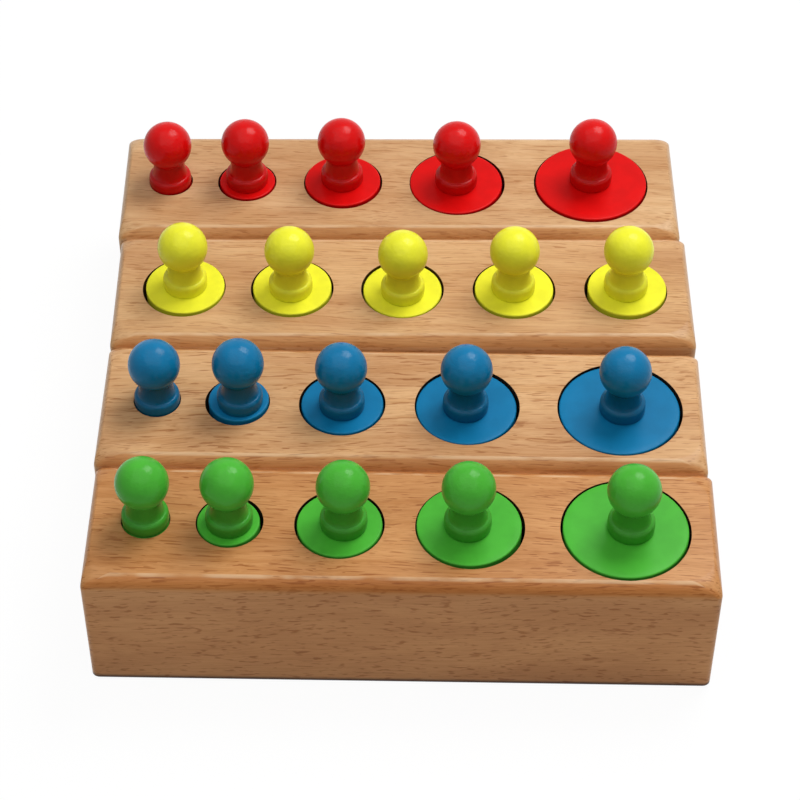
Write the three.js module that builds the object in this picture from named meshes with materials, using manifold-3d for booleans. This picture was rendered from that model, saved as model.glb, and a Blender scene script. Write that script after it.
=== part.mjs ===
// Knobbed cylinder blocks: four beech blocks stand side by side, and each has a row of five round sockets.
// In every socket sits a painted cylinder, which lifts out by the turned knob that is glued into its top.
// Millimetres, +Z up, the front of the set towards -Y. The origin is on the table under the middle of the set.

import * as THREE from 'three';
import { mergeVertices } from 'three/addons/utils/BufferGeometryUtils.js';
import Module from 'manifold-3d';

const wasm = await Module();
wasm.setup();

// Beech blocks
const BLOCK_LENGTH = 180;
const BLOCK_WIDTH = 48.6;
const FRONT_BLOCK_WIDTH = 45.6; // the front block is planed thinner than the others
const BLOCK_HEIGHT = 44.3;
const BLOCK_GAP = 0.3; // least air between neighbouring blocks
const CORNER_RADIUS = 1.8; // upright corners
const CORNER_GROWTH = 1; // how much the corner radius grows with each millimetre that an edge is drawn in
const TOP_EDGE_RADIUS = 3.9;
const BASE_EDGE_RADIUS = 1.4;
const SOCKET_FLOOR = 9; // wood under the deepest socket
const MOUTH_EASE = 0.4; // chamfer round a socket's mouth
const ROW_SLANT = -0.45; // degrees from a block's sides to its row of sockets

// Cylinders
const GRADED_DIAMETERS = [13.5, 18, 24.5, 30, 36]; // from the left end of a block to the right
const EVEN_DIAMETER = 24.5; // the block whose cylinders differ in height alone
const SHORTEST_HEIGHT = 10;
const RIM_EASE = 0.5; // chamfer round both ends of a cylinder

// Knobs, all alike
const KNOB_HEIGHT = 23.2; // from the underside of the foot to the crown of the ball
const BALL_RADIUS = 7.7;
const NECK_RADIUS = 5.1;
const FOOT_RADIUS = GRADED_DIAMETERS[0] / 2; // the foot is as wide as the smallest cylinder
const FOOT_HEIGHT = 4.2;
const FOOT_EASE = 1; // rounding of the foot's upper edge
const TENON_RADIUS = 3;
const TENON_LENGTH = 6.5;

// Fits
const SOCKET_CLEARANCE = 0.65; // all round a cylinder that stands in the middle of its socket
const CLOSE_CLEARANCE = 0.3; // the same for the thinnest cylinders, which are only as wide as their knobs
const LEAST_SIDE_GAP = 0.25; // still open where a cylinder leans to one side
const SEAT_GAP = 0.3; // under a cylinder, under a knob's foot, and round a tenon

// Facets
const ROUND_SIDES = 20; // sockets and cylinders
const KNOB_SIDES = 16;
const BALL_STEPS = 5;
const COVE_STEPS = 2;
const CORNER_STEPS = 2; // pairs of steps round an upright corner
const TOP_EDGE_STEPS = 4;
const BASE_EDGE_STEPS = 2;
const OVERCUT = 1; // how far a cutter passes the face that it opens
const WELD = 1e-4; // vertices nearer than this are one

// Heights grow in equal steps up to the tallest cylinder, which the block's height allows
const CYLINDERS_IN_BLOCK = GRADED_DIAMETERS.length;
const TALLEST_HEIGHT = BLOCK_HEIGHT - SOCKET_FLOOR - SEAT_GAP;
const HEIGHT_STEP = (TALLEST_HEIGHT - SHORTEST_HEIGHT) / (CYLINDERS_IN_BLOCK - 1);
const RISING_HEIGHTS = GRADED_DIAMETERS.map((_, place) => SHORTEST_HEIGHT + place * HEIGHT_STEP);
const FALLING_HEIGHTS = [...RISING_HEIGHTS].reverse();
const LEVEL_HEIGHTS = RISING_HEIGHTS.map(() => TALLEST_HEIGHT);
const EVEN_DIAMETERS = GRADED_DIAMETERS.map(() => EVEN_DIAMETER);

// The blocks from front to back.
// width: the block from front to back
// walls: the wood before, between and after the sockets, from the left end to the right end, in this proportion
// shift: how far the block stands along X from the front one
// turn: degrees by which its right end stands back
// setBack: how far the middle of its row of sockets lies behind the block's centre line
// proud: how far each cylinder's top stands over the block's top
// lean: how far over each cylinder stands in its socket, -1 at the left wall and 1 at the right wall
// aside: how far along X and Y each knob stands from the middle of its cylinder
const BLOCKS = [
  {
    colour: 'green',
    paint: '#52b043',
    width: FRONT_BLOCK_WIDTH,
    diameters: GRADED_DIAMETERS,
    heights: FALLING_HEIGHTS,
    walls: [9.7, 7.3, 8.8, 8.7, 10, 7.7],
    shift: 0,
    turn: 0,
    setBack: 0.2,
    proud: [-0.3, -0.2, -0.3, 0.3, 0],
    lean: [0, -1, 0, -0.8, 0],
    aside: [[0, 0], [0.3, 0.1], [1.2, 0.1], [-0.4, 0], [1.4, 0.6]],
  },
  {
    colour: 'blue',
    paint: '#2a7db0',
    width: BLOCK_WIDTH,
    diameters: GRADED_DIAMETERS,
    heights: RISING_HEIGHTS,
    walls: [9.9, 7.3, 8.7, 8.7, 11.2, 6.4],
    shift: -0.9,
    turn: 0,
    setBack: -0.1,
    proud: [-1, 0.9, -0.2, -0.7, -0.5],
    lean: [0, 0.9, 0, -0.7, -0.4],
    aside: [[0, 0], [0.5, -0.9], [-0.1, -0.7], [-0.2, 0], [0.8, 0.2]],
  },
  {
    colour: 'yellow',
    paint: '#e6dc38',
    width: BLOCK_WIDTH,
    diameters: EVEN_DIAMETERS,
    heights: RISING_HEIGHTS,
    walls: [8.8, 7.9, 8.6, 9, 9, 7.7],
    shift: -1.4,
    turn: 1,
    setBack: -0.8,
    proud: [0.5, 0.3, -0.6, 0.3, 0.9],
    lean: [0.8, 0, 0, 0, 1],
    aside: [[0.1, 0.5], [-0.4, -0.6], [0.1, -1], [-0.3, 0], [-0.5, -0.1]],
  },
  {
    colour: 'red',
    paint: '#d2201f',
    width: BLOCK_WIDTH,
    diameters: GRADED_DIAMETERS,
    heights: LEVEL_HEIGHTS,
    walls: [8.4, 8.1, 8.8, 8.7, 9.3, 8.9],
    shift: -3.5,
    turn: 1,
    setBack: 0,
    proud: [-0.8, 0.3, 0.7, 0.1, 0.6],
    lean: [0, 0.8, 0, -0.8, 0],
    aside: [[0, 0], [-0.1, 0.2], [-0.2, 0.6], [0, 0.1], [-0.1, 1.1]],
  },
];

// The gap all round a cylinder in the middle of its socket.
function clearanceOf(diameter) {
  return diameter > 2 * FOOT_RADIUS ? SOCKET_CLEARANCE : CLOSE_CLEARANCE;
}

// Centres of a row of sockets from the middle of the block. What the sockets leave of the block's length is
// shared out as walls.
function socketPlaces({ diameters, walls, setBack }) {
  const widths = diameters.map((diameter) => diameter + 2 * clearanceOf(diameter));
  const wood = BLOCK_LENGTH - widths.reduce((sum, width) => sum + width, 0);
  const parts = walls.reduce((sum, wall) => sum + wall, 0);
  const slant = Math.tan(THREE.MathUtils.degToRad(ROW_SLANT));
  let edge = -BLOCK_LENGTH / 2;
  return widths.map((width, place) => {
    const along = edge + (wood * walls[place]) / parts + width / 2;
    edge = along + width / 2;
    return new THREE.Vector2(along, setBack + along * slant);
  });
}

// A solid of revolution about Z from a profile of [radius, height] pairs that starts and ends on the axis.
function turned(profile, sides) {
  const points = profile.map(([radius, height]) => new THREE.Vector2(radius, height));
  const geometry = new THREE.LatheGeometry(points, sides);
  geometry.rotateX(Math.PI / 2);
  return geometry;
}

// One level of the block: a rectangle with round corners, drawn in from the block's outline by inset.
function blockRing(width, inset, height) {
  const radius = CORNER_RADIUS + CORNER_GROWTH * inset;
  const x = BLOCK_LENGTH / 2 - inset - radius;
  const y = width / 2 - inset - radius;
  const outline = new THREE.Path();
  outline.absarc(x, y, radius, 0, Math.PI / 2);
  outline.absarc(-x, y, radius, Math.PI / 2, Math.PI);
  outline.absarc(-x, -y, radius, Math.PI, 1.5 * Math.PI);
  outline.absarc(x, -y, radius, 1.5 * Math.PI, 2 * Math.PI);
  return { height, points: outline.getPoints(CORNER_STEPS) };
}

// The block's levels from its base to its top: a quarter round at the foot, then one at the top edge.
function blockLevels(width) {
  const levels = [];
  for (let step = 0; step <= BASE_EDGE_STEPS; step += 1) {
    const angle = (step / BASE_EDGE_STEPS) * (Math.PI / 2);
    const inset = BASE_EDGE_RADIUS * (1 - Math.sin(angle));
    levels.push(blockRing(width, inset, BASE_EDGE_RADIUS * (1 - Math.cos(angle))));
  }
  for (let step = 0; step <= TOP_EDGE_STEPS; step += 1) {
    const angle = (step / TOP_EDGE_STEPS) * (Math.PI / 2);
    const inset = TOP_EDGE_RADIUS * (1 - Math.cos(angle));
    levels.push(blockRing(width, inset, BLOCK_HEIGHT - TOP_EDGE_RADIUS * (1 - Math.sin(angle))));
  }
  return levels;
}

// The uncut block: its levels joined by a skin, with a flat cap below and above.
function blockBlank(width) {
  const levels = blockLevels(width);
  const around = levels[0].points.length;
  const positions = levels.flatMap(({ height, points }) => points.flatMap((point) => [point.x, point.y, height]));
  const faces = [];
  for (let level = 0; level < levels.length - 1; level += 1) {
    for (let side = 0; side < around; side += 1) {
      const next = (side + 1) % around;
      const low = level * around;
      const high = low + around;
      faces.push(low + side, low + next, high + next);
      faces.push(low + side, high + next, high + side);
    }
  }
  const topStart = (levels.length - 1) * around;
  for (const [a, b, c] of THREE.ShapeUtils.triangulateShape(levels[0].points, [])) {
    faces.push(c, b, a);
  }
  for (const [a, b, c] of THREE.ShapeUtils.triangulateShape(levels.at(-1).points, [])) {
    faces.push(topStart + a, topStart + b, topStart + c);
  }
  const geometry = new THREE.BufferGeometry();
  geometry.setAttribute('position', new THREE.Float32BufferAttribute(positions, 3));
  geometry.setIndex(faces);
  return geometry;
}

// What a drill takes out for one socket, with a chamfer at its mouth.
function socketCutter(diameter, depth) {
  const radius = diameter / 2 + clearanceOf(diameter);
  const profile = [
    [0, BLOCK_HEIGHT - depth],
    [radius, BLOCK_HEIGHT - depth],
    [radius, BLOCK_HEIGHT - MOUTH_EASE],
    [radius + MOUTH_EASE, BLOCK_HEIGHT],
    [radius + MOUTH_EASE, BLOCK_HEIGHT + OVERCUT],
    [0, BLOCK_HEIGHT + OVERCUT],
  ];
  return turned(profile, ROUND_SIDES);
}

// A closed geometry as a solid that can be cut.
function toSolid(geometry) {
  const bare = geometry.clone();
  bare.deleteAttribute('normal');
  bare.deleteAttribute('uv');
  const welded = mergeVertices(bare, WELD);
  const corners = welded.index.array;
  const faces = [];
  for (let first = 0; first < corners.length; first += 3) {
    const [a, b, c] = corners.slice(first, first + 3);
    if (a !== b && b !== c && c !== a) {
      faces.push(a, b, c);
    }
  }
  const vertProperties = Float32Array.from(welded.attributes.position.array);
  const triVerts = Uint32Array.from(faces);
  return new wasm.Manifold(new wasm.Mesh({ numProp: 3, vertProperties, triVerts }));
}

// A cut solid as a geometry again.
function toGeometry(solid) {
  const mesh = solid.getMesh();
  const geometry = new THREE.BufferGeometry();
  geometry.setAttribute('position', new THREE.Float32BufferAttribute(mesh.vertProperties, 3));
  geometry.setIndex(new THREE.Uint32BufferAttribute(mesh.triVerts, 1));
  geometry.computeVertexNormals();
  return geometry;
}

// A beech block with a socket under each of its cylinders.
function blockGeometry(block) {
  const places = socketPlaces(block);
  let solid = toSolid(blockBlank(block.width));
  block.diameters.forEach((diameter, place) => {
    const depth = block.heights[place] + SEAT_GAP - block.proud[place];
    const cutter = socketCutter(diameter, depth);
    cutter.translate(places[place].x, places[place].y, 0);
    solid = solid.subtract(toSolid(cutter));
  });
  return toGeometry(solid);
}

// A cylinder standing on its base, with eased rims and a blind bore under the knob.
function cylinderGeometry(diameter, height, aside) {
  const radius = diameter / 2;
  const whole = turned(
    [
      [0, 0],
      [radius - RIM_EASE, 0],
      [radius, RIM_EASE],
      [radius, height - RIM_EASE],
      [radius - RIM_EASE, height],
      [0, height],
    ],
    ROUND_SIDES,
  );
  const bore = TENON_RADIUS + SEAT_GAP;
  const cutter = turned(
    [
      [0, height - TENON_LENGTH],
      [bore, height - TENON_LENGTH],
      [bore, height + OVERCUT],
      [0, height + OVERCUT],
    ],
    KNOB_SIDES,
  );
  cutter.translate(...aside, 0);
  return toGeometry(toSolid(whole).subtract(toSolid(cutter)));
}

// A knob standing on its foot: tenon, foot, hollow cove up to the neck, and ball.
function knobGeometry() {
  const ballHeight = KNOB_HEIGHT - BALL_RADIUS;
  const neckAngle = -Math.acos(NECK_RADIUS / BALL_RADIUS);
  const neckHeight = ballHeight + BALL_RADIUS * Math.sin(neckAngle);
  const cove = new THREE.QuadraticBezierCurve(
    new THREE.Vector2(FOOT_RADIUS - FOOT_EASE, FOOT_HEIGHT),
    new THREE.Vector2(NECK_RADIUS, FOOT_HEIGHT),
    new THREE.Vector2(NECK_RADIUS, neckHeight),
  );
  const ball = new THREE.EllipseCurve(0, ballHeight, BALL_RADIUS, BALL_RADIUS, neckAngle, Math.PI / 2);
  const profile = [
    [0, -TENON_LENGTH],
    [TENON_RADIUS, -TENON_LENGTH],
    [TENON_RADIUS, 0],
    [FOOT_RADIUS, 0],
    [FOOT_RADIUS, FOOT_HEIGHT - FOOT_EASE],
    ...cove.getPoints(COVE_STEPS).map((point) => point.toArray()),
    ...ball.getPoints(BALL_STEPS).slice(1, -1).map((point) => point.toArray()),
    [0, KNOB_HEIGHT],
  ];
  return turned(profile, KNOB_SIDES);
}

// One piece of the set as a named mesh.
function piece(name, geometry, material) {
  const mesh = new THREE.Mesh(geometry, material);
  mesh.name = name;
  return mesh;
}

// A cylinder with its knob, standing in its socket. Its group's origin is at the middle of the cylinder's base.
function knobbedCylinder(block, place, paint) {
  const diameter = block.diameters[place];
  const height = block.heights[place];
  const aside = block.aside[place];
  const label = place + 1;
  const cylinder = piece(`${block.colour}_cylinder_${label}`, cylinderGeometry(diameter, height, aside), paint);
  const knob = piece(`${block.colour}_knob_${label}`, knobGeometry(), paint);
  knob.position.set(...aside, height + SEAT_GAP);
  const group = new THREE.Group();
  group.add(cylinder, knob);
  const play = clearanceOf(diameter) - LEAST_SIDE_GAP;
  const socket = socketPlaces(block)[place];
  group.position.set(socket.x + play * block.lean[place], socket.y, BLOCK_HEIGHT + block.proud[place] - height);
  return group;
}

// A block with all of its cylinders. Its group's origin is on the table under the middle of the block.
function knobbedBlock(block, beech) {
  const paint = new THREE.MeshStandardMaterial({ color: block.paint, roughness: 0.42, metalness: 0 });
  const group = new THREE.Group();
  group.add(piece(`${block.colour}_block`, blockGeometry(block), beech));
  block.diameters.forEach((_, place) => group.add(knobbedCylinder(block, place, paint)));
  return group;
}

const beech = new THREE.MeshStandardMaterial({ color: '#c9976a', roughness: 0.55, metalness: 0 });
const set = new THREE.Group();

// Each block stands behind the one before it, and as far off as the turn between the two asks for.
let depth = 0;
BLOCKS.forEach((block, row) => {
  const turn = THREE.MathUtils.degToRad(block.turn);
  if (row > 0) {
    const before = BLOCKS[row - 1];
    const wedge = (BLOCK_LENGTH / 2) * Math.sin(Math.abs(turn - THREE.MathUtils.degToRad(before.turn)));
    depth += (before.width + block.width) / 2 + BLOCK_GAP + wedge;
  }
  const group = knobbedBlock(block, beech);
  group.position.set(block.shift, depth, 0);
  group.rotation.z = turn;
  set.add(group);
});

// The middle of the set comes over the origin.
const middle = new THREE.Box3().setFromObject(set, true).getCenter(new THREE.Vector3());
set.children.forEach((group) => group.position.sub(new THREE.Vector3(middle.x, middle.y, 0)));

export default set;
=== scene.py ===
"""A set of four knobbed cylinder blocks in beech, dressed for a studio picture.

Four blocks stand side by side, from front to back green, blue, yellow and red. Each has five round
sockets, and in every socket sits a painted cylinder with a turned knob on top. Lengths are metres in
the frame's own axes: +X to the right, +Y to the back, +Z up.
"""

import logging
import math
from collections.abc import Mapping, Sequence
from dataclasses import dataclass
from enum import Enum

import bpy
import numpy as np
from mathutils import Matrix, Vector


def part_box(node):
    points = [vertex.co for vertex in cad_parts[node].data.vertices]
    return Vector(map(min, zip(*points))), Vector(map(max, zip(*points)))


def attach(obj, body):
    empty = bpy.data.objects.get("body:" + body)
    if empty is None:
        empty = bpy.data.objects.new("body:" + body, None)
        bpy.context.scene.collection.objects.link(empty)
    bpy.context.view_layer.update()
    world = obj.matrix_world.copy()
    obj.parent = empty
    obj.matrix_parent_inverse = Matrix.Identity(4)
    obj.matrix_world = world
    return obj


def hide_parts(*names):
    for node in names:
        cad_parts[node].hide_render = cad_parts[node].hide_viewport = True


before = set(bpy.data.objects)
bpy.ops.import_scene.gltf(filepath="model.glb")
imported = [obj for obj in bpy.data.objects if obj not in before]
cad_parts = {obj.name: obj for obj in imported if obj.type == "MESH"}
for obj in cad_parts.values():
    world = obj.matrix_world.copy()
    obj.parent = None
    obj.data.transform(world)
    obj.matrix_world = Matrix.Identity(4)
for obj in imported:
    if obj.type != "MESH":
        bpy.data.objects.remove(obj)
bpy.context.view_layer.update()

log = logging.getLogger("knobbed_blocks")

MM = 0.001
PER_MM = 1.0 / MM
QUARTER = math.pi / 2
# Name of the point attribute that holds each point's share of painted shade.
PAINTED_SHADE_NAME = "painted_shade_share"
WHITE = (1.0, 1.0, 1.0)

# Places of the colour sockets in Blender's mix node.
MIX_SHARE = 0
MIX_FIRST = 6
MIX_SECOND = 7
MIX_RESULT = 2

Colour = tuple[float, float, float]
Input = float | Sequence[float] | bpy.types.NodeSocket


def linear(red: int, green: int, blue: int) -> Colour:
    """Turns a colour written in screen values from 0 to 255 into linear light.

    As a share of 255, a value up to 0.04045 is divided by 12.92. A larger one gets 0.055 added, is
    divided by 1.055 and taken to the power 2.4.

    Args:
        red: Red screen value.
        green: Green screen value.
        blue: Blue screen value.

    Returns:
        The three linear values, from 0 to 1.
    """
    screen = np.array((red, green, blue)) / 255.0
    light = np.where(screen <= 0.04045, screen / 12.92, ((screen + 0.055) / 1.055) ** 2.4)
    return tuple(float(value) for value in light)


def arc(centre: tuple[float, float], radius: float, start: float, end: float, steps: int) -> np.ndarray:
    """Points along a circle in the plane of a turning's profile.

    Point k is the centre plus radius times (cos a, sin a), where a goes evenly from start to end.

    Args:
        centre: Distance from the axis and height of the circle's centre.
        radius: Radius of the circle.
        start: First angle in radians.
        end: Last angle in radians.
        steps: Number of even steps.

    Returns:
        An array of (distance from the axis, height) rows.
    """
    angle = np.linspace(start, end, steps + 1)
    return np.column_stack((centre[0] + radius * np.cos(angle), centre[1] + radius * np.sin(angle)))


def sweep(start: np.ndarray, pull: np.ndarray, end: np.ndarray, steps: int) -> np.ndarray:
    """Points along a hollow curve that leaves start towards pull and arrives at end from pull.

    Point t is (1 - t) squared times start, plus 2 t (1 - t) times pull, plus t squared times end.

    Args:
        start: First (distance from the axis, height) point.
        pull: The point where the two end tangents meet.
        end: Last point.
        steps: Number of even steps of t.

    Returns:
        An array of (distance from the axis, height) rows.
    """
    t = np.linspace(0.0, 1.0, steps + 1)[:, None]
    return (1 - t) ** 2 * np.asarray(start) + 2 * t * (1 - t) * np.asarray(pull) + t**2 * np.asarray(end)


@dataclass(frozen=True)
class Skin:
    """A closed surface: its points, the quads between its rings and the fans that close both ends."""

    points: np.ndarray
    quads: np.ndarray
    fans: np.ndarray

    @classmethod
    def from_rings(cls, rings: np.ndarray, base: np.ndarray, crown: np.ndarray) -> "Skin":
        """Joins rings of points into one closed skin.

        Point j of ring i joins point j + 1 of the same ring and the same two points of ring i + 1, and
        the first and last rings are closed by fans round base and crown. Rings run anticlockwise seen
        from the crown, so that the faces point outwards.

        Args:
            rings: Array of levels by points round by three.
            base: Middle point that closes the first ring.
            crown: Middle point that closes the last ring.

        Returns:
            The closed skin.
        """
        levels, around, _ = rings.shape
        index = np.arange(levels * around).reshape(levels, around)
        ahead = np.roll(index, -1, axis=1)
        quads = np.stack((index[:-1], ahead[:-1], ahead[1:], index[1:]), axis=-1).reshape(-1, 4)
        base_index = np.full(around, levels * around)
        crown_index = base_index + 1
        base_fan = np.column_stack((ahead[0], index[0], base_index))
        crown_fan = np.column_stack((index[-1], ahead[-1], crown_index))
        points = np.concatenate((rings.reshape(-1, 3), [base], [crown]))
        return cls(points, quads, np.concatenate((base_fan, crown_fan)))

    @classmethod
    def turned(cls, profile: np.ndarray, axis: np.ndarray, sides: int) -> "Skin":
        """Carries a profile round an upright axis, as a lathe does.

        Point (i, j) is (r cos a, r sin a, h) from the foot of axis i, where (r, h) is row i of the
        profile and a is j of the sides of a full turn. The first and last rows lie on their axes.

        Args:
            profile: Rows of (distance from the axis, height), from the base to the crown.
            axis: Foot of the axis, or one foot for each row of the profile.
            sides: Number of points round.

        Returns:
            The closed skin.
        """
        angle = np.linspace(0.0, 2.0 * math.pi, sides, endpoint=False)
        feet = np.broadcast_to(axis, (len(profile), 3))
        radius = profile[1:-1, 0, None]
        height = profile[1:-1, 1, None] * np.ones_like(angle)
        rings = np.stack((radius * np.cos(angle), radius * np.sin(angle), height), axis=-1)
        ends = feet[[0, -1]] + profile[[0, -1], 1, None] * np.array((0.0, 0.0, 1.0))
        return cls.from_rings(rings + feet[1:-1, None], ends[0], ends[1])

    @classmethod
    def together(cls, skins: Sequence["Skin"]) -> "Skin":
        """Puts several closed skins into one, by counting each one's indices on from the last.

        Args:
            skins: Skins that don't touch.

        Returns:
            One skin that holds them all.
        """
        first = np.cumsum([0] + [len(skin.points) for skin in skins[:-1]])
        return cls(
            np.concatenate([skin.points for skin in skins]),
            np.concatenate([skin.quads + start for skin, start in zip(skins, first)]),
            np.concatenate([skin.fans + start for skin, start in zip(skins, first)]),
        )

    def to_object(self, name: str) -> bpy.types.Object:
        """Writes the skin into a mesh and puts it in the scene.

        Args:
            name: Name of the object and of its mesh.

        Returns:
            The new object, at the origin.
        """
        corners = np.concatenate((self.quads.ravel(), self.fans.ravel()))
        sizes = np.repeat((4, 3), (len(self.quads), len(self.fans)))
        mesh = bpy.data.meshes.new(name)
        mesh.vertices.add(len(self.points))
        mesh.vertices.foreach_set("co", self.points.ravel())
        mesh.loops.add(len(corners))
        mesh.loops.foreach_set("vertex_index", corners)
        mesh.polygons.add(len(sizes))
        mesh.polygons.foreach_set("loop_start", np.cumsum(sizes) - sizes)
        mesh.update(calc_edges=True)
        mesh.validate()
        piece = bpy.data.objects.new(name, mesh)
        bpy.context.scene.collection.objects.link(piece)
        return piece


def shade(piece: bpy.types.Object, crease: float) -> None:
    """Shades a piece smooth, and leaves edges sharper than a crease angle sharp.

    Args:
        piece: The piece to shade.
        crease: Angle in degrees between faces past which an edge stays sharp.
    """
    piece.data.shade_smooth()
    piece.data.set_sharp_from_angle(angle=math.radians(crease))


class Bench:
    """The node tree of one material, with short ways to lay the nodes of a finish."""

    def __init__(self, name: str) -> None:
        """Starts a material that holds one shader."""
        self.material = bpy.data.materials.new(name)
        self.material.use_nodes = True
        self.tree = self.material.node_tree
        self.shader = self.tree.nodes["Principled BSDF"]

    def node(self, kind: str, inputs: Mapping[str | int, Input], **options: object) -> bpy.types.Node:
        """Adds a node, sets its options and fills its inputs.

        Args:
            kind: Blender's name for the node.
            inputs: For each input, a value or the output that feeds it.
            **options: Properties of the node.

        Returns:
            The new node.
        """
        made = self.tree.nodes.new(kind)
        for option, value in options.items():
            setattr(made, option, value)
        for socket, value in inputs.items():
            self.feed(made.inputs[socket], value)
        return made

    def feed(self, socket: bpy.types.NodeSocket, value: Input) -> None:
        """Links an output to an input, or writes a plain value there."""
        if isinstance(value, bpy.types.NodeSocket):
            self.tree.links.new(value, socket)
        else:
            socket.default_value = value

    def millimetres(self, shift: Sequence[float], turn: Sequence[float]) -> bpy.types.NodeSocket:
        """Gives the point on the piece in millimetres, shifted and turned.

        Args:
            shift: Shift of the pattern in millimetres.
            turn: Turn of the pattern about X, Y and Z in degrees.

        Returns:
            The point's output.
        """
        here = self.node("ShaderNodeTexCoord", {}).outputs["Object"]
        angles = [math.radians(angle) for angle in turn]
        inputs = {"Vector": here, "Location": shift, "Rotation": angles, "Scale": (PER_MM,) * 3}
        return self.node("ShaderNodeMapping", inputs).outputs["Vector"]

    def vector(self, way: str, first: Input, second: Input) -> bpy.types.NodeSocket:
        """Works out a sum, product or the like of two vectors."""
        return self.node("ShaderNodeVectorMath", {0: first, 1: second}, operation=way).outputs["Vector"]

    def number(self, way: str, first: Input, second: Input) -> bpy.types.NodeSocket:
        """Works out a sum, product or the like of two numbers."""
        return self.node("ShaderNodeMath", {0: first, 1: second}, operation=way).outputs["Value"]

    def cloud(
        self, point: Input, size: Sequence[float], detail: float = 2.0, rough: float = 0.5
    ) -> bpy.types.Node:
        """Adds soft noise whose blotches have a given size.

        Args:
            point: The point in millimetres.
            size: Size of a blotch along X, Y and Z in millimetres.
            detail: Number of finer octaves.
            rough: Weight of the finer octaves.

        Returns:
            The noise node.
        """
        scaled = self.vector("MULTIPLY", point, [1.0 / length for length in size])
        inputs = {"Vector": scaled, "Scale": 1.0, "Detail": detail, "Roughness": rough}
        return self.node("ShaderNodeTexNoise", inputs)

    def fade(
        self, value: Input, start: float, end: float, low: float = 0.0, high: float = 1.0
    ) -> bpy.types.NodeSocket:
        """Eases from low to high while a value goes from start to end.

        Args:
            value: The value that drives the fade.
            start: Value at which the result is low.
            end: Value at which the result is high.
            low: Result at the start.
            high: Result at the end.

        Returns:
            The result's output.
        """
        inputs = {"Value": value, "From Min": start, "From Max": end, "To Min": low, "To Max": high}
        return self.node("ShaderNodeMapRange", inputs, interpolation_type="SMOOTHSTEP").outputs["Result"]

    def blend(self, share: Input, first: Input, second: Input, way: str = "MIX") -> bpy.types.NodeSocket:
        """Mixes two colours.

        Args:
            share: Share of the second colour.
            first: First colour.
            second: Second colour.
            way: Blender's name for the kind of mix.

        Returns:
            The mixed colour's output.
        """
        mix = self.node("ShaderNodeMix", {}, data_type="RGBA", blend_type=way)
        self.feed(mix.inputs[MIX_SHARE], share)
        self.feed(mix.inputs[MIX_FIRST], opaque(first))
        self.feed(mix.inputs[MIX_SECOND], opaque(second))
        return mix.outputs[MIX_RESULT]

    def relief(self, height: Input, depth: float) -> None:
        """Raises the surface by a height pattern.

        Args:
            height: The pattern, from 0 to 1.
            depth: Height in metres that 1 stands for.
        """
        bump = self.node("ShaderNodeBump", {"Strength": 1.0, "Distance": depth, "Height": height})
        self.feed(self.shader.inputs["Normal"], bump.outputs["Normal"])


def opaque(colour: Input) -> Input:
    """Adds a full alpha to a plain colour, and leaves an output as it is."""
    if isinstance(colour, bpy.types.NodeSocket):
        return colour
    return (*colour, 1.0)


@dataclass(frozen=True)
class GrainLayer:
    """One kind of dark mark in wood: noise drawn out along the grain, seen where it rises past a level.

    The size is the room of one mark along X, Y and Z in millimetres. The noise shows from the start value
    on and fully past the full one. The shares say how strongly the marks show on level faces and on upright
    ones.
    """

    size: tuple[float, float, float]
    start: float
    full: float
    tint: Colour
    level_share: float
    upright_share: float
    detail: float

    def strength(
        self, bench: Bench, point: bpy.types.NodeSocket, level: bpy.types.NodeSocket
    ) -> bpy.types.NodeSocket:
        """Finds how strongly the marks show at a point.

        Args:
            bench: The bench of the wood's finish.
            point: The point in millimetres.
            level: 1 on level faces and 0 on upright ones.

        Returns:
            The strength, from 0 to the larger share.
        """
        noise = bench.cloud(point, self.size, self.detail).outputs["Fac"]
        share = bench.fade(level, 0.0, 1.0, self.upright_share, self.level_share)
        return bench.number("MULTIPLY", bench.fade(noise, self.start, self.full), share)


STREAKS = GrainLayer(
    size=(55.0, 2.2, 2.2),
    start=0.40,
    full=0.68,
    tint=(0.84, 0.74, 0.62),
    level_share=0.6,
    upright_share=0.14,
    detail=3.0,
)
SOFT_STREAKS = GrainLayer(
    size=(60.0, 3.0, 3.0),
    start=0.40,
    full=0.70,
    tint=(0.88, 0.79, 0.69),
    level_share=0.5,
    upright_share=0.3,
    detail=2.0,
)
FIBRES = GrainLayer(
    size=(14.0, 0.42, 0.42),
    start=0.38,
    full=0.74,
    tint=(0.80, 0.71, 0.61),
    level_share=0.6,
    upright_share=0.45,
    detail=1.0,
)
DASHES = GrainLayer(
    size=(8.5, 0.6, 0.6),
    start=0.615,
    full=0.66,
    tint=(0.62, 0.47, 0.36),
    level_share=0.8,
    upright_share=0.1,
    detail=1.0,
)
FAINT_DASHES = GrainLayer(
    size=(9.0, 0.62, 0.62),
    start=0.62,
    full=0.67,
    tint=(0.68, 0.54, 0.43),
    level_share=0.7,
    upright_share=0.1,
    detail=1.0,
)
FLECKS = GrainLayer(
    size=(3.6, 0.85, 0.85),
    start=0.565,
    full=0.70,
    tint=(0.68, 0.54, 0.42),
    level_share=0.2,
    upright_share=0.85,
    detail=1.0,
)
LIVELY_GRAIN = (STREAKS, FIBRES, DASHES, FLECKS)
CALM_GRAIN = (SOFT_STREAKS, FIBRES, FAINT_DASHES, FLECKS)


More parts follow.
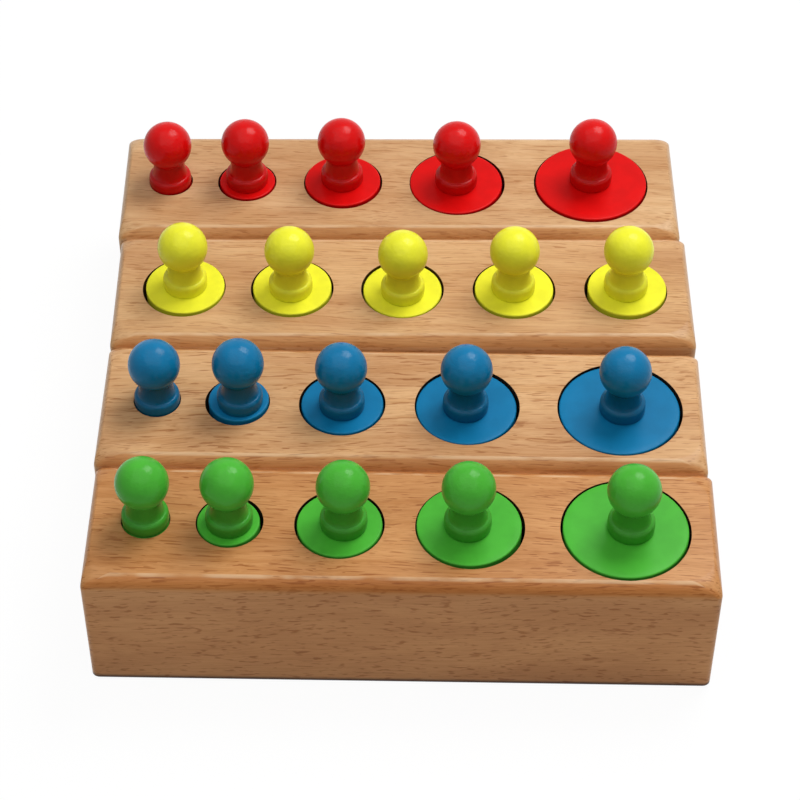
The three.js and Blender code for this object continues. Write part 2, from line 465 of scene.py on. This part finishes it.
@dataclass(frozen=True)
class BeechFinish:
    """Lacquered beech with its grain along X: broad tones, and layers of dark marks on top of them.

    The shift says where in the tree the block was cut, and the turn how its grain runs. The long edges are
    darkened by painted shade with a warm cast and carry a thin broken painted highlight where the top
    turns into them, and the foot is darkened by a painted contact shadow. Each pair of values, such as
    start and full, gives where a change of tone sets in and where it is complete.
    """

    name: str
    shift: tuple[float, float, float]
    turn: tuple[float, float, float]
    pale: Colour = linear(216, 157, 102)
    deep: Colour = linear(201, 141, 88)
    tone_size: tuple[float, float, float] = (55.0, 13.0, 13.0)
    tone_detail: float = 3.0
    tone_low: float = 0.32
    tone_high: float = 0.68
    end_tone: float = 0.35
    end_start: float = 0.5
    end_full: float = 0.9
    sway_size: tuple[float, float, float] = (48.0, 22.0, 22.0)
    sway_detail: float = 1.0
    sway: float = 6.0
    layers: tuple[GrainLayer, ...] = LIVELY_GRAIN
    # Painted shade with a warm cast on the rounded long edges.
    edge_shade_tint: Colour = (0.86, 0.66, 0.44)
    edge_shade_share: float = 0.8
    edge_shade_start: float = 0.28
    edge_shade_full: float = 0.45
    # Painted highlight: a thin broken pale line along the long top edges.
    highlight_colour: Colour = linear(244, 212, 172)
    highlight_share: float = 0.3
    highlight_start: float = 0.9995
    highlight_full: float = 0.99
    highlight_fall: float = 0.93
    highlight_end: float = 0.86
    highlight_straight: float = 4.0
    highlight_onset: float = 0.06
    highlight_size: tuple[float, float, float] = (12.0, 8.0, 8.0)
    highlight_low: float = 0.35
    highlight_high: float = 0.6
    # Painted contact shadow at the block's foot.
    contact_shadow_tint: Colour = (0.12, 0.10, 0.10)
    contact_shadow_start: float = 2.8 * MM
    contact_shadow_full: float = 1.2 * MM
    roughness: float = 0.28
    specular: float = 0.13
    relief: float = 0.012 * MM

    def material(self) -> bpy.types.Material:
        """Lays the wood's nodes.

        Returns:
            The finished material.
        """
        bench = Bench(self.name)
        point = self.wandering(bench)
        normal = bench.node("ShaderNodeTexCoord", {}).outputs["Normal"]
        size = bench.node("ShaderNodeVectorMath", {0: normal}, operation="ABSOLUTE").outputs["Vector"]
        facing = bench.node("ShaderNodeSeparateXYZ", {0: size}).outputs
        tone = bench.cloud(point, self.tone_size, self.tone_detail).outputs["Fac"]
        evenness = bench.fade(facing["X"], self.end_start, self.end_full, 1.0, self.end_tone)
        depth = bench.number("MULTIPLY", bench.fade(tone, self.tone_low, self.tone_high), evenness)
        colour = bench.blend(depth, self.pale, self.deep)
        # Painted shade: faces that lean halfway between front or back and up, the rounded long edges, are
        # darkened with a warm cast.
        leaning = bench.number("MULTIPLY", facing["Y"], facing["Z"])
        edge_shade = bench.fade(leaning, self.edge_shade_start, self.edge_shade_full, 0.0, self.edge_shade_share)
        colour = bench.blend(edge_shade, colour, self.edge_shade_tint, "MULTIPLY")
        # Painted contact shadow: the wood is darkened within a few millimetres of the table.
        place = bench.node("ShaderNodeTexCoord", {}).outputs["Object"]
        height = bench.node("ShaderNodeSeparateXYZ", {0: place}).outputs["Z"]
        foot = bench.fade(height, self.contact_shadow_start, self.contact_shadow_full)
        colour = bench.blend(foot, colour, self.contact_shadow_tint, "MULTIPLY")
        for layer in self.layers:
            marks = layer.strength(bench, point, facing["Z"])
            colour = bench.blend(marks, colour, layer.tint, "MULTIPLY")
        # Painted highlight: the pale line where the top turns into a long edge.
        colour = bench.blend(self.painted_highlight(bench, point, facing), colour, self.highlight_colour)
        bench.feed(bench.shader.inputs["Base Color"], colour)
        bench.feed(bench.shader.inputs["Roughness"], self.roughness)
        bench.feed(bench.shader.inputs["Specular IOR Level"], self.specular)
        # The marks of the last layer are also shallow pits.
        bench.relief(bench.number("SUBTRACT", 1.0, marks), self.relief)
        return bench.material

    def wandering(self, bench: Bench) -> bpy.types.NodeSocket:
        """Bends the grain slightly across its run.

        Args:
            bench: The bench of this finish.

        Returns:
            The bent point in millimetres.
        """
        straight = bench.millimetres(self.shift, self.turn)
        bend = bench.cloud(straight, self.sway_size, self.sway_detail).outputs["Color"]
        centred = bench.vector("SUBTRACT", bend, (0.5, 0.5, 0.5))
        aside = bench.vector("MULTIPLY", centred, (0.0, self.sway, self.sway))
        return bench.vector("ADD", straight, aside)

    def painted_highlight(
        self, bench: Bench, point: bpy.types.NodeSocket, facing: Mapping[str, bpy.types.NodeSocket]
    ) -> bpy.types.NodeSocket:
        """Finds the thin broken line where the top turns into a long edge, which carries a painted
        highlight.

        There the upward part of the piece's own normal is a little under 1, and its part to the front or
        back is several times as large as that to the side.

        Args:
            bench: The bench of this finish.
            point: The point in millimetres.
            facing: Sizes of the three parts of the piece's own normal.

        Returns:
            The share of the painted highlight's pale colour.
        """
        rise = bench.fade(facing["Z"], self.highlight_start, self.highlight_full)
        fall = bench.fade(facing["Z"], self.highlight_end, self.highlight_fall)
        sideways = bench.number("MULTIPLY", facing["X"], self.highlight_straight)
        along = bench.number("SUBTRACT", facing["Y"], sideways)
        long_edge = bench.fade(along, 0.0, self.highlight_onset)
        cloud = bench.cloud(point, self.highlight_size).outputs["Fac"]
        patches = bench.fade(cloud, self.highlight_low, self.highlight_high, 0.0, self.highlight_share)
        line = bench.number("MULTIPLY", bench.number("MULTIPLY", rise, fall), long_edge)
        return bench.number("MULTIPLY", line, patches)


@dataclass(frozen=True)
class PaintedShadeWall:
    """Painted shade for the walls of the sockets: a dark rough colour that stands for the shade in their
    narrow gaps.
    """

    name: str
    colour: Colour
    roughness: float = 0.8
    specular: float = 0.1

    def material(self) -> bpy.types.Material:
        """Lays the wall's nodes.

        Returns:
            The finished material.
        """
        bench = Bench(self.name)
        bench.feed(bench.shader.inputs["Base Color"], opaque(self.colour))
        bench.feed(bench.shader.inputs["Roughness"], self.roughness)
        bench.feed(bench.shader.inputs["Specular IOR Level"], self.specular)
        return bench.material


@dataclass(frozen=True)
class PaintFinish:
    """Satin toy paint: a little uneven in tone, and slightly bumpy, so that shine breaks up.

    A piece may carry a share of painted shade at each of its points. Where it is 1, the painted shade's
    tone is left of the colour's brightness.
    """

    name: str
    colour: Colour
    relief: float
    roughness: float
    specular: float
    painted_shade_tone: float = 1.0
    shade: float = 0.9
    patch_size: tuple[float, float, float] = (6.0, 6.0, 6.0)
    patch_detail: float = 3.0
    patch_low: float = 0.3
    patch_high: float = 0.7
    bump_size: tuple[float, float, float] = (1.5, 1.5, 0.9)
    bump_detail: float = 2.0
    bump_rough: float = 0.6

    def material(self) -> bpy.types.Material:
        """Lays the paint's nodes.

        Returns:
            The finished material.
        """
        bench = Bench(self.name)
        point = bench.millimetres((0.0, 0.0, 0.0), (0.0, 0.0, 0.0))
        patch = bench.cloud(point, self.patch_size, self.patch_detail).outputs["Fac"]
        bumps = bench.cloud(point, self.bump_size, self.bump_detail, self.bump_rough).outputs["Fac"]
        darker = tuple(value * self.shade for value in self.colour)
        tone = bench.blend(bench.fade(patch, self.patch_low, self.patch_high), self.colour, darker)
        # Painted shade under the knobs' balls, darkened by the share noted on the piece's points.
        if self.painted_shade_tone < 1.0:
            painted_shade = bench.node("ShaderNodeAttribute", {}, attribute_name=PAINTED_SHADE_NAME).outputs["Fac"]
            tone = bench.blend(painted_shade, tone, (self.painted_shade_tone,) * 3, "MULTIPLY")
        bench.feed(bench.shader.inputs["Base Color"], tone)
        bench.feed(bench.shader.inputs["Roughness"], self.roughness)
        bench.feed(bench.shader.inputs["Specular IOR Level"], self.specular)
        bench.relief(bumps, self.relief)
        return bench.material


def dress(piece: bpy.types.Object, body: str, node: str) -> None:
    """Ties a finished piece to the frame in place of its solid.

    Args:
        piece: The finished piece.
        body: The body that carries it.
        node: The solid that it stands for.
    """
    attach(piece, body)
    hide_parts(node)
    log.info("%s: %d faces, rides on %s", piece.name, len(piece.data.polygons), body)


def middle_of(node: str) -> np.ndarray:
    """Finds the point on the table under the middle of a solid.

    Args:
        node: The solid.

    Returns:
        The point, at height 0.
    """
    low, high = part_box(node)
    return np.array(((low.x + high.x) / 2, (low.y + high.y) / 2, 0.0))


@dataclass
class TurnedKnob:
    """A knob turned from one piece: tenon, foot with a rounded shoulder, hollow cove, neck and ball.

    The shoulder's turn is a share of a quarter round. The foot's painted shade value is the share of
    painted shade on it.
    """

    height: float = 23.2 * MM
    ball_radius: float = 7.7 * MM
    neck_radius: float = 5.0 * MM
    foot_radius: float = 6.75 * MM
    foot_height: float = 4.0 * MM
    shoulder: float = 1.3 * MM
    shoulder_turn: float = 0.86
    flare: float = 0.9 * MM
    foot_ease: float = 0.3 * MM
    swell: float = 0.1 * MM
    tenon_radius: float = 3.0 * MM
    tenon_length: float = 6.5 * MM
    glue_gap: float = 0.25 * MM
    neck_blend: float = 0.5 * MM
    foot_painted_shade: float = 0.6
    ease_steps: int = 4
    band_steps: int = 8
    shoulder_steps: int = 8
    cove_steps: int = 18
    neck_steps: int = 5
    ball_steps: int = 44
    sides: int = 96
    crease: float = 40.0

    def profile(self) -> np.ndarray:
        """Draws half of the knob's section, from the end of its tenon to its crown.

        The foot's band swells by a half sine, its shoulder is an arc, the cove and the corner under the
        ball are hollow sweeps, and the ball is an arc up to the axis.

        Returns:
            Rows of (distance from the axis, height over the foot's underside).
        """
        low = -self.glue_gap
        ball_height = self.height - self.ball_radius
        joint = -math.acos(self.neck_radius / self.ball_radius)
        under_ball = ball_height + self.ball_radius * math.sin(joint)
        ball_start = joint + self.neck_blend / self.ball_radius
        band_top = self.foot_height - self.shoulder
        share = np.linspace(0.0, 1.0, self.band_steps + 1)
        band = np.column_stack(
            (
                self.foot_radius + self.swell * np.sin(math.pi * share),
                low + self.foot_ease + share * (band_top - low - self.foot_ease),
            )
        )
        shoulder = arc(
            (self.foot_radius - self.shoulder, band_top),
            self.shoulder,
            0.0,
            self.shoulder_turn * QUARTER,
            self.shoulder_steps,
        )
        ball = arc((0.0, ball_height), self.ball_radius, ball_start, QUARTER, self.ball_steps)
        neck = np.array((self.neck_radius, under_ball - self.neck_blend))
        cove_pull = (self.neck_radius, self.foot_height + self.flare)
        cove = sweep(shoulder[-1], cove_pull, neck, self.cove_steps)
        corner = sweep(neck, (self.neck_radius, under_ball), ball[0], self.neck_steps)
        ease_middle = (self.foot_radius - self.foot_ease, low + self.foot_ease)
        ease = arc(ease_middle, self.foot_ease, -QUARTER, 0.0, self.ease_steps)
        tenon = (
            (0.0, -self.tenon_length),
            (self.tenon_radius, -self.tenon_length),
            (self.tenon_radius, low),
        )
        return np.concatenate((tenon, ease, band[1:], shoulder[1:], cove[1:], corner[1:], ball[1:]))

    def painted_shade(self, profile: np.ndarray) -> np.ndarray:
        """Rates how much painted shade, standing for the shade under the ball, falls on each row of the
        profile.

        The foot has its own value. From its top the share goes evenly to 1 where the neck meets the ball,
        and on to 0 at the height of the ball's middle.

        Args:
            profile: The knob's profile.

        Returns:
            One share for each row.
        """
        ball_height = self.height - self.ball_radius
        neck_height = ball_height - math.sqrt(self.ball_radius**2 - self.neck_radius**2)
        heights = (self.foot_height, neck_height, ball_height)
        return np.interp(profile[:, 1], heights, (self.foot_painted_shade, 1.0, 0.0))

    def build(self, node: str, name: str) -> bpy.types.Object:
        """Turns the knob where its solid stands, and notes on its points how much painted shade falls
        there.

        Args:
            node: The knob's solid.
            name: Name of the new piece.

        Returns:
            The new piece.
        """
        foot = middle_of(node)
        foot[2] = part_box(node)[1].z - self.height
        profile = self.profile()
        piece = Skin.turned(profile, foot, self.sides).to_object(name)
        # Painted shade: each point notes how much of the shade under the ball is painted on it.
        share = self.painted_shade(profile)
        rings = np.repeat(share[1:-1], self.sides)
        notes = piece.data.attributes.new(PAINTED_SHADE_NAME, "FLOAT", "POINT")
        notes.data.foreach_set("value", np.concatenate((rings, share[[0, -1]])))
        shade(piece, self.crease)
        return piece


@dataclass
class PaintedCylinder:
    """A cylinder with rounded rims and a blind bore under its knob."""

    rim: float = 0.5 * MM
    bore_radius: float = 3.3 * MM
    bore_depth: float = 6.5 * MM
    rim_steps: int = 6
    face_steps: int = 8
    sides: int = 128
    crease: float = 40.0

    def profile(self, radius: float, height: float) -> np.ndarray:
        """Draws half of the cylinder's section: base, wall and top, with quarter rounds at both rims.

        Args:
            radius: Radius of the cylinder.
            height: Its height.

        Returns:
            Rows of (distance from the axis, height over the base).
        """
        inner = radius - self.rim
        lower = arc((inner, self.rim), self.rim, -QUARTER, 0.0, self.rim_steps)
        upper = arc((inner, height - self.rim), self.rim, 0.0, QUARTER, self.rim_steps)
        face = np.linspace((inner, height), (self.bore_radius, height), self.face_steps)
        floor = height - self.bore_depth
        bore = ((self.bore_radius, floor), (0.0, floor))
        return np.concatenate((((0.0, 0.0),), lower, upper, face[1:], bore))

    def build(self, node: str, knob: str, name: str) -> bpy.types.Object:
        """Turns the cylinder where its solid stands, as wide and as tall as the solid.

        Over the top face the axis moves evenly from the cylinder's own to the knob's, so that the bore
        lies under the knob.

        Args:
            node: The cylinder's solid.
            knob: The knob's solid.
            name: Name of the new piece.

        Returns:
            The new piece.
        """
        low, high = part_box(node)
        profile = self.profile((high.x - low.x) / 2, high.z - low.z)
        across = np.linspace(0.0, 1.0, self.face_steps)[1:]
        share = np.concatenate((np.zeros(len(profile) - len(across) - 2), across, (1.0, 1.0)))
        foot = middle_of(node)
        aside = middle_of(knob) - foot
        axis = foot + (0.0, 0.0, low.z) + share[:, None] * aside
        piece = Skin.turned(profile, axis, self.sides).to_object(name)
        shade(piece, self.crease)
        return piece


@dataclass
class BeechBlock:
    """A length of beech with rounded edges and corners, and a slanting row of eased round sockets.

    The walls are the wood before, between and after the sockets, in proportion. The turn and the slant
    are in degrees. The nudge is the share of the clearance by which each socket lies in front of its
    cylinder, which sits to the back. A face of the drill whose normal points up by less than the floor
    limit cuts a socket's floor.
    """

    walls: tuple[float, ...]
    set_back: float
    turn: float = 0.0
    slant: float = -0.45
    length: float = 180.0 * MM
    width: float = 48.6 * MM
    corner: float = 1.8 * MM
    corner_growth: float = 1.7
    top_edge: float = 3.9 * MM
    edge_power: float = 1.65
    end_share: float = 0.55
    base_edge: float = 1.4 * MM
    clearance: float = 0.65 * MM
    close_clearance: float = 0.3 * MM
    close_width: float = 14.0 * MM
    seat: float = 0.3 * MM
    mouth: float = 0.06 * MM
    nudge: float = 0.5
    overcut: float = 1.0 * MM
    floor_limit: float = -0.5
    mouth_steps: int = 6
    corner_steps: int = 8
    edge_steps: int = 16
    sides: int = 128
    crease: float = 35.0

    def stand(self, points: np.ndarray, middle: np.ndarray) -> np.ndarray:
        """Turns points about the block's own upright middle line and brings them to its place.

        Args:
            points: Points from the middle of the block's base.
            middle: Place of that middle.

        Returns:
            The points in the frame.
        """
        angle = math.radians(self.turn)
        across = (math.cos(angle), math.sin(angle), 0.0), (-math.sin(angle), math.cos(angle), 0.0)
        return points @ np.array((*across, (0.0, 0.0, 1.0))) + middle

    def blank(self, middle: np.ndarray, tall: float) -> Skin:
        """Shapes the uncut block.

        An edge profile of (inset, height) is carried round the outline: point (i, j) is the centre of its
        corner on level i plus its corner radius times (cos a, sin a), at height i. The corner radius grows
        with the inset, so that the corners get rounder towards the top. The base edge is a quarter round.
        The top edge is flatter in its middle: over a quarter turn t, its inset is the edge's size times
        1 less cos t to a power, and its drop the same with sin t. At the block's ends, a share of the
        inset is used.

        Args:
            middle: Place of the middle of the base.
            tall: Height of the block.

        Returns:
            The closed skin.
        """
        turn = np.linspace(0.0, QUARTER, self.edge_steps + 1)
        power = 2.0 / self.edge_power
        top_inset = self.top_edge * (1 - np.clip(np.cos(turn), 0.0, 1.0) ** power)
        top_height = tall - self.top_edge * (1 - np.sin(turn) ** power)
        inset = np.concatenate((self.base_edge * (1 - np.sin(turn)), top_inset))
        height = np.concatenate((self.base_edge * (1 - np.cos(turn)), top_height))
        quarter = np.linspace(0.0, QUARTER, self.corner_steps + 1)
        angle = (np.arange(4)[:, None] * QUARTER + quarter).ravel()
        side = np.repeat(((1, 1), (-1, 1), (-1, -1), (1, -1)), self.corner_steps + 1, axis=0)
        inset = inset[:, None, None]
        radius = self.corner + self.corner_growth * inset
        reach = np.array((self.length / 2, self.width / 2)) - radius - inset * (self.end_share, 1.0)
        flat = side * reach + radius * np.column_stack((np.cos(angle), np.sin(angle)))
        levels = np.broadcast_to(height[:, None, None], (*flat.shape[:2], 1))
        rings = self.stand(np.concatenate((flat, levels), axis=-1), middle)
        return Skin.from_rings(rings, middle, middle + (0.0, 0.0, tall))

    def socket_feet(self, middle: np.ndarray, wide: np.ndarray, spare: np.ndarray) -> np.ndarray:
        """Shares out what the sockets leave of the block's length as walls, and finds the sockets' axes.

        Args:
            middle: Place of the middle of the base.
            wide: Widths of the cylinders from left to right.
            spare: Clearance round each of them.

        Returns:
            The foot of each socket's axis.
        """
        widths = wide + 2 * spare
        walls = np.array(self.walls)
        wood = walls / walls.sum() * (self.length - widths.sum())
        along = np.cumsum(wood[:-1] + widths) - widths / 2 - self.length / 2
        across = self.set_back - self.nudge * spare + along * math.tan(math.radians(self.slant))
        return self.stand(np.column_stack((along, across, np.zeros_like(along))), middle)

    def drills(self, middle: np.ndarray, tall: float, cylinders: Sequence[str]) -> Skin:
        """Shapes what a drill takes out: a round hole under each cylinder, flared at its mouth.

        The flare is a quarter round that runs from the wall out to the block's top.

        Args:
            middle: Place of the middle of the base.
            tall: Height of the block.
            cylinders: The cylinders' solids from left to right.

        Returns:
            All the holes as one skin.
        """
        boxes = [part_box(cylinder) for cylinder in cylinders]
        wide = np.array([box[1].x - box[0].x for box in boxes])
        spare = np.where(wide < self.close_width, self.close_clearance, self.clearance)
        feet = self.socket_feet(middle, wide, spare)
        holes = []
        for foot, radius, box in zip(feet, wide / 2 + spare, boxes):
            floor = box[0].z - self.seat
            flare_middle = (radius + self.mouth, tall - self.mouth)
            flare = arc(flare_middle, self.mouth, math.pi, QUARTER, self.mouth_steps)
            top = tall + self.overcut
            start = ((0.0, floor), (radius, floor))
            end = ((radius + self.mouth, top), (0.0, top))
            holes.append(Skin.turned(np.concatenate((start, flare, end)), foot, self.sides))
        return Skin.together(holes)

    def build(
        self, node: str, name: str, cylinders: Sequence[str], finishes: Sequence[bpy.types.Material]
    ) -> bpy.types.Object:
        """Shapes the block where its solid stands and drills its sockets.

        The faces of the drill that look down cut the sockets' floors, which are bare beech.

        Args:
            node: The block's solid.
            name: Name of the new piece.
            cylinders: The cylinders' solids from left to right.
            finishes: The finish of the beech and the painted shade of the sockets' walls.

        Returns:
            The new piece.
        """
        middle = middle_of(node)
        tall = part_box(node)[1].z
        piece = self.blank(middle, tall).to_object(name)
        drill = self.drills(middle, tall, cylinders).to_object("drill")
        for material in finishes:
            piece.data.materials.append(material)
            drill.data.materials.append(material)
        normals = np.empty(3 * len(drill.data.polygons))
        drill.data.polygons.foreach_get("normal", normals)
        # The sockets' walls take the second finish, the painted shade; the floors take the beech.
        walls = normals[2::3] > self.floor_limit
        drill.data.polygons.foreach_set("material_index", walls.astype(np.int32))
        cut = piece.modifiers.new("sockets", "BOOLEAN")
        cut.operation = "DIFFERENCE"
        cut.solver = "EXACT"
        cut.object = drill
        done = piece.evaluated_get(bpy.context.evaluated_depsgraph_get())
        whole = piece.data
        piece.data = bpy.data.meshes.new_from_object(done)
        piece.modifiers.clear()
        bpy.data.meshes.remove(whole)
        bpy.data.meshes.remove(drill.data)
        shade(piece, self.crease)
        even = piece.modifiers.new("even shading", "WEIGHTED_NORMAL")
        even.keep_sharp = True
        return piece


class BlockColour(Enum):
    """The four blocks, named for the paint of their cylinders."""

    GREEN = "green"
    BLUE = "blue"
    YELLOW = "yellow"
    RED = "red"


@dataclass
class KnobbedBlock:
    """One block with its five knobbed cylinders.

    The knobs' painted shade value is the tone of the painted shade under their balls, and the feet's is the
    share of that shade there.
    """

    colour: BlockColour
    paint: Colour
    block: BeechBlock
    wood: BeechFinish
    # Painted shade: the socket walls are near-black, standing for the shade in the narrow gaps round the
    # cylinders.
    socket_wall_shade: Colour = linear(40, 25, 16)
    places: int = 5
    knob_relief: float = 0.1 * MM
    knob_roughness: float = 0.2
    # Painted shade on the knobs: its tone under the balls, and its share on the feet.
    knob_painted_shade: float = 0.74
    foot_painted_shade: float = 0.6
    knob_specular: float = 0.12
    disc_relief: float = 0.008 * MM
    disc_roughness: float = 0.32
    disc_specular: float = 0.09

    def build(self) -> None:
        """Builds and dresses the block, then each cylinder and its knob."""
        colour = self.colour.value
        body = f"{colour}_block"
        cylinders = [f"{colour}_cylinder_{place}" for place in range(1, self.places + 1)]
        wall = PaintedShadeWall(f"{colour}_socket_wall_shade", self.socket_wall_shade)
        finishes = (self.wood.material(), wall.material())
        block = self.block.build(body, f"{colour}_beech_block", cylinders, finishes)
        dress(block, body, body)
        disc_paint = PaintFinish(
            f"{colour}_disc_paint", self.paint, self.disc_relief, self.disc_roughness, self.disc_specular
        ).material()
        knob_paint = PaintFinish(
            f"{colour}_knob_paint",
            self.paint,
            self.knob_relief,
            self.knob_roughness,
            self.knob_specular,
            self.knob_painted_shade,
        ).material()
        cylinder_shape = PaintedCylinder()
        knob_shape = TurnedKnob(foot_painted_shade=self.foot_painted_shade)
        for place, node in enumerate(cylinders, start=1):
            loose = f"{colour}_piece_{place}"
            knob_node = f"{colour}_knob_{place}"
            cylinder = cylinder_shape.build(node, knob_node, f"{colour}_painted_cylinder_{place}")
            cylinder.data.materials.append(disc_paint)
            dress(cylinder, loose, node)
            knob = knob_shape.build(knob_node, f"{colour}_turned_knob_{place}")
            knob.data.materials.append(knob_paint)
            dress(knob, loose, knob_node)


class LampOutline(Enum):
    """Outlines that a flat lamp can have."""

    ROUND = "DISK"
    SQUARE = "SQUARE"


@dataclass(frozen=True)
class Lamp:
    """A flat soft lamp, aimed at the origin under the middle of the set."""

    name: str
    place: tuple[float, float, float]
    outline: LampOutline
    size: float
    power: float

    def hang(self) -> None:
        """Puts the lamp in the scene."""
        light = bpy.data.lights.new(self.name, "AREA")
        light.shape = self.outline.value
        light.size = self.size
        light.energy = self.power
        lamp = bpy.data.objects.new(self.name, light)
        lamp.location = self.place
        lamp.rotation_euler = Vector(self.place).to_track_quat("Z", "Y").to_euler()
        bpy.context.scene.collection.objects.link(lamp)


@dataclass
class Studio:
    """Floor, lights and camera for the picture, with the camera's angles in degrees."""

    target: tuple[float, float, float] = (-0.18 * MM, 12.5 * MM, 3.7 * MM)
    distance: float = 786.4 * MM
    azimuth: float = 0.908
    elevation: float = 46.577
    roll: float = 0.137
    lens: float = 110.09
    sensor_width: float = 36.0
    key: Lamp = Lamp("key", (0.28, 0.3, 0.75), LampOutline.ROUND, size=0.46, power=4.25)
    sheet: Lamp = Lamp("sheet", (0.0, -0.15, 0.95), LampOutline.SQUARE, size=1.3, power=6.4)
    surround: float = 0.06
    floor_reach: float = 6.0
    floor_bounce: float = 0.85
    floor_glow: float = 0.95
    floor_shade: float = 0.06

    def build(self) -> None:
        """Sets the whole studio."""
        self.floor()
        self.world()
        self.key.hang()
        self.sheet.hang()
        self.camera()
        bpy.context.scene.view_settings.view_transform = "Standard"

    def seen(self, tree: bpy.types.NodeTree) -> bpy.types.NodeSocket:
        """Finds out if a ray comes from the camera, or by way of a shiny or clear surface.

        Args:
            tree: The node tree to add to.

        Returns:
            An output that is 1 for such rays and 0 for others.
        """
        path = tree.nodes.new("ShaderNodeLightPath")
        total = path.outputs["Is Camera Ray"]
        for kind in ("Is Glossy Ray", "Is Transmission Ray"):
            either = tree.nodes.new("ShaderNodeMath")
            either.operation = "MAXIMUM"
            tree.links.new(total, either.inputs[0])
            tree.links.new(path.outputs[kind], either.inputs[1])
            total = either.outputs["Value"]
        return total

    def floor(self) -> None:
        """Lays a pale floor that looks white and keeps a soft shadow."""
        reach = self.floor_reach
        corners = ((-reach, -reach, 0.0), (reach, -reach, 0.0), (reach, reach, 0.0), (-reach, reach, 0.0))
        mesh = bpy.data.meshes.new("floor")
        mesh.from_pydata(corners, [], [(0, 1, 2, 3)])
        floor = bpy.data.objects.new("floor", mesh)
        bpy.context.scene.collection.objects.link(floor)
        bench = Bench("pale_floor")
        tree = bench.tree
        matt = bench.node("ShaderNodeBsdfDiffuse", {"Color": opaque((self.floor_bounce,) * 3)})
        shaded = bench.node("ShaderNodeBsdfDiffuse", {"Color": opaque((self.floor_shade,) * 3)})
        light = {"Color": opaque(WHITE), "Strength": self.floor_glow}
        glow = bench.node("ShaderNodeEmission", light)
        both = bench.node("ShaderNodeAddShader", {0: shaded.outputs[0], 1: glow.outputs[0]})
        inputs = {0: self.seen(tree), 1: matt.outputs[0], 2: both.outputs[0]}
        mix = bench.node("ShaderNodeMixShader", inputs)
        tree.links.new(mix.outputs[0], tree.nodes["Material Output"].inputs["Surface"])
        tree.nodes.remove(bench.shader)
        mesh.materials.append(bench.material)

    def world(self) -> None:
        """Surrounds the object with even soft light, and shows white behind it."""
        world = bpy.data.worlds.new("white_room")
        world.use_nodes = True
        tree = world.node_tree
        soft = tree.nodes["Background"]
        soft.inputs["Color"].default_value = opaque(WHITE)
        soft.inputs["Strength"].default_value = self.surround
        white = tree.nodes.new("ShaderNodeBackground")
        white.inputs["Color"].default_value = opaque(WHITE)
        white.inputs["Strength"].default_value = 1.0
        mix = tree.nodes.new("ShaderNodeMixShader")
        tree.links.new(self.seen(tree), mix.inputs[0])
        tree.links.new(soft.outputs[0], mix.inputs[1])
        tree.links.new(white.outputs[0], mix.inputs[2])
        tree.links.new(mix.outputs[0], tree.nodes["World Output"].inputs["Surface"])
        bpy.context.scene.world = world

    def camera(self) -> None:
        """Sets the camera at the picture's place: azimuth and elevation round the target, then roll."""
        turn = math.radians(self.azimuth)
        lift = math.radians(self.elevation)
        roll = math.radians(self.roll)
        back = Vector(
            (math.sin(turn) * math.cos(lift), -math.cos(turn) * math.cos(lift), math.sin(lift))
        )
        level = Vector((math.cos(turn), math.sin(turn), 0.0))
        upright = back.cross(level)
        right = math.cos(roll) * level + math.sin(roll) * upright
        up = back.cross(right)
        place = Vector(self.target) + back * self.distance
        lens = bpy.data.cameras.new("camera")
        lens.lens = self.lens
        lens.sensor_width = self.sensor_width
        camera = bpy.data.objects.new("camera", lens)
        camera.matrix_world = Matrix.Translation(place) @ Matrix((right, up, back)).transposed().to_4x4()
        bpy.context.scene.collection.objects.link(camera)
        bpy.context.scene.camera = camera


def main() -> None:
    """Builds the four blocks from front to back, then the studio."""
    logging.basicConfig(level=logging.INFO, format="%(message)s")
    front = BeechFinish("front_beech", shift=(0.0, 0.0, 0.0), turn=(0.0, 2.5, 1.5), highlight_share=0.42)
    second = BeechFinish(
        "second_beech",
        shift=(310.0, 40.0, 0.0),
        turn=(0.0, 1.0, -1.5),
        pale=linear(226, 180, 131),
        deep=linear(205, 155, 109),
    )
    third = BeechFinish(
        "third_beech",
        shift=(620.0, 80.0, 0.0),
        turn=(0.0, -1.0, 1.5),
        pale=linear(220, 176, 128),
        deep=linear(202, 154, 109),
        layers=CALM_GRAIN,
    )
    back = BeechFinish(
        "back_beech",
        shift=(930.0, 120.0, 0.0),
        turn=(0.0, 1.0, 1.0),
        pale=linear(221, 181, 136),
        deep=linear(202, 156, 111),
        layers=CALM_GRAIN,
    )
    blocks = (
        KnobbedBlock(
            BlockColour.GREEN,
            paint=linear(80, 187, 58),
            block=BeechBlock((9.7, 7.3, 8.8, 8.7, 10.0, 7.7), set_back=0.2 * MM, width=45.6 * MM),
            wood=front,
        ),
        KnobbedBlock(
            BlockColour.BLUE,
            paint=linear(18, 122, 172),
            block=BeechBlock((9.9, 7.3, 8.7, 8.7, 11.2, 6.4), set_back=-0.1 * MM),
            wood=second,
            knob_painted_shade=0.55,
        ),
        KnobbedBlock(
            BlockColour.YELLOW,
            paint=linear(252, 250, 58),
            block=BeechBlock((8.8, 7.9, 8.6, 9.0, 9.0, 7.7), set_back=-0.8 * MM, turn=1.0, nudge=0.65),
            wood=third,
            # Painted shade with an olive cast of painted bounce light from the yellow paint.
            socket_wall_shade=linear(64, 47, 20),
            knob_painted_shade=0.82,
            foot_painted_shade=0.2,
        ),
        KnobbedBlock(
            BlockColour.RED,
            paint=linear(224, 14, 14),
            block=BeechBlock((8.4, 8.1, 8.8, 8.7, 9.3, 8.9), set_back=0.0, turn=1.0, clearance=0.5 * MM),
            wood=back,
            # Painted shade with a red cast of painted bounce light from the red paint.
            socket_wall_shade=linear(66, 20, 14),
        ),
    )
    for block in blocks:
        block.build()
    Studio().build()


if __name__ == "__main__":
    main()
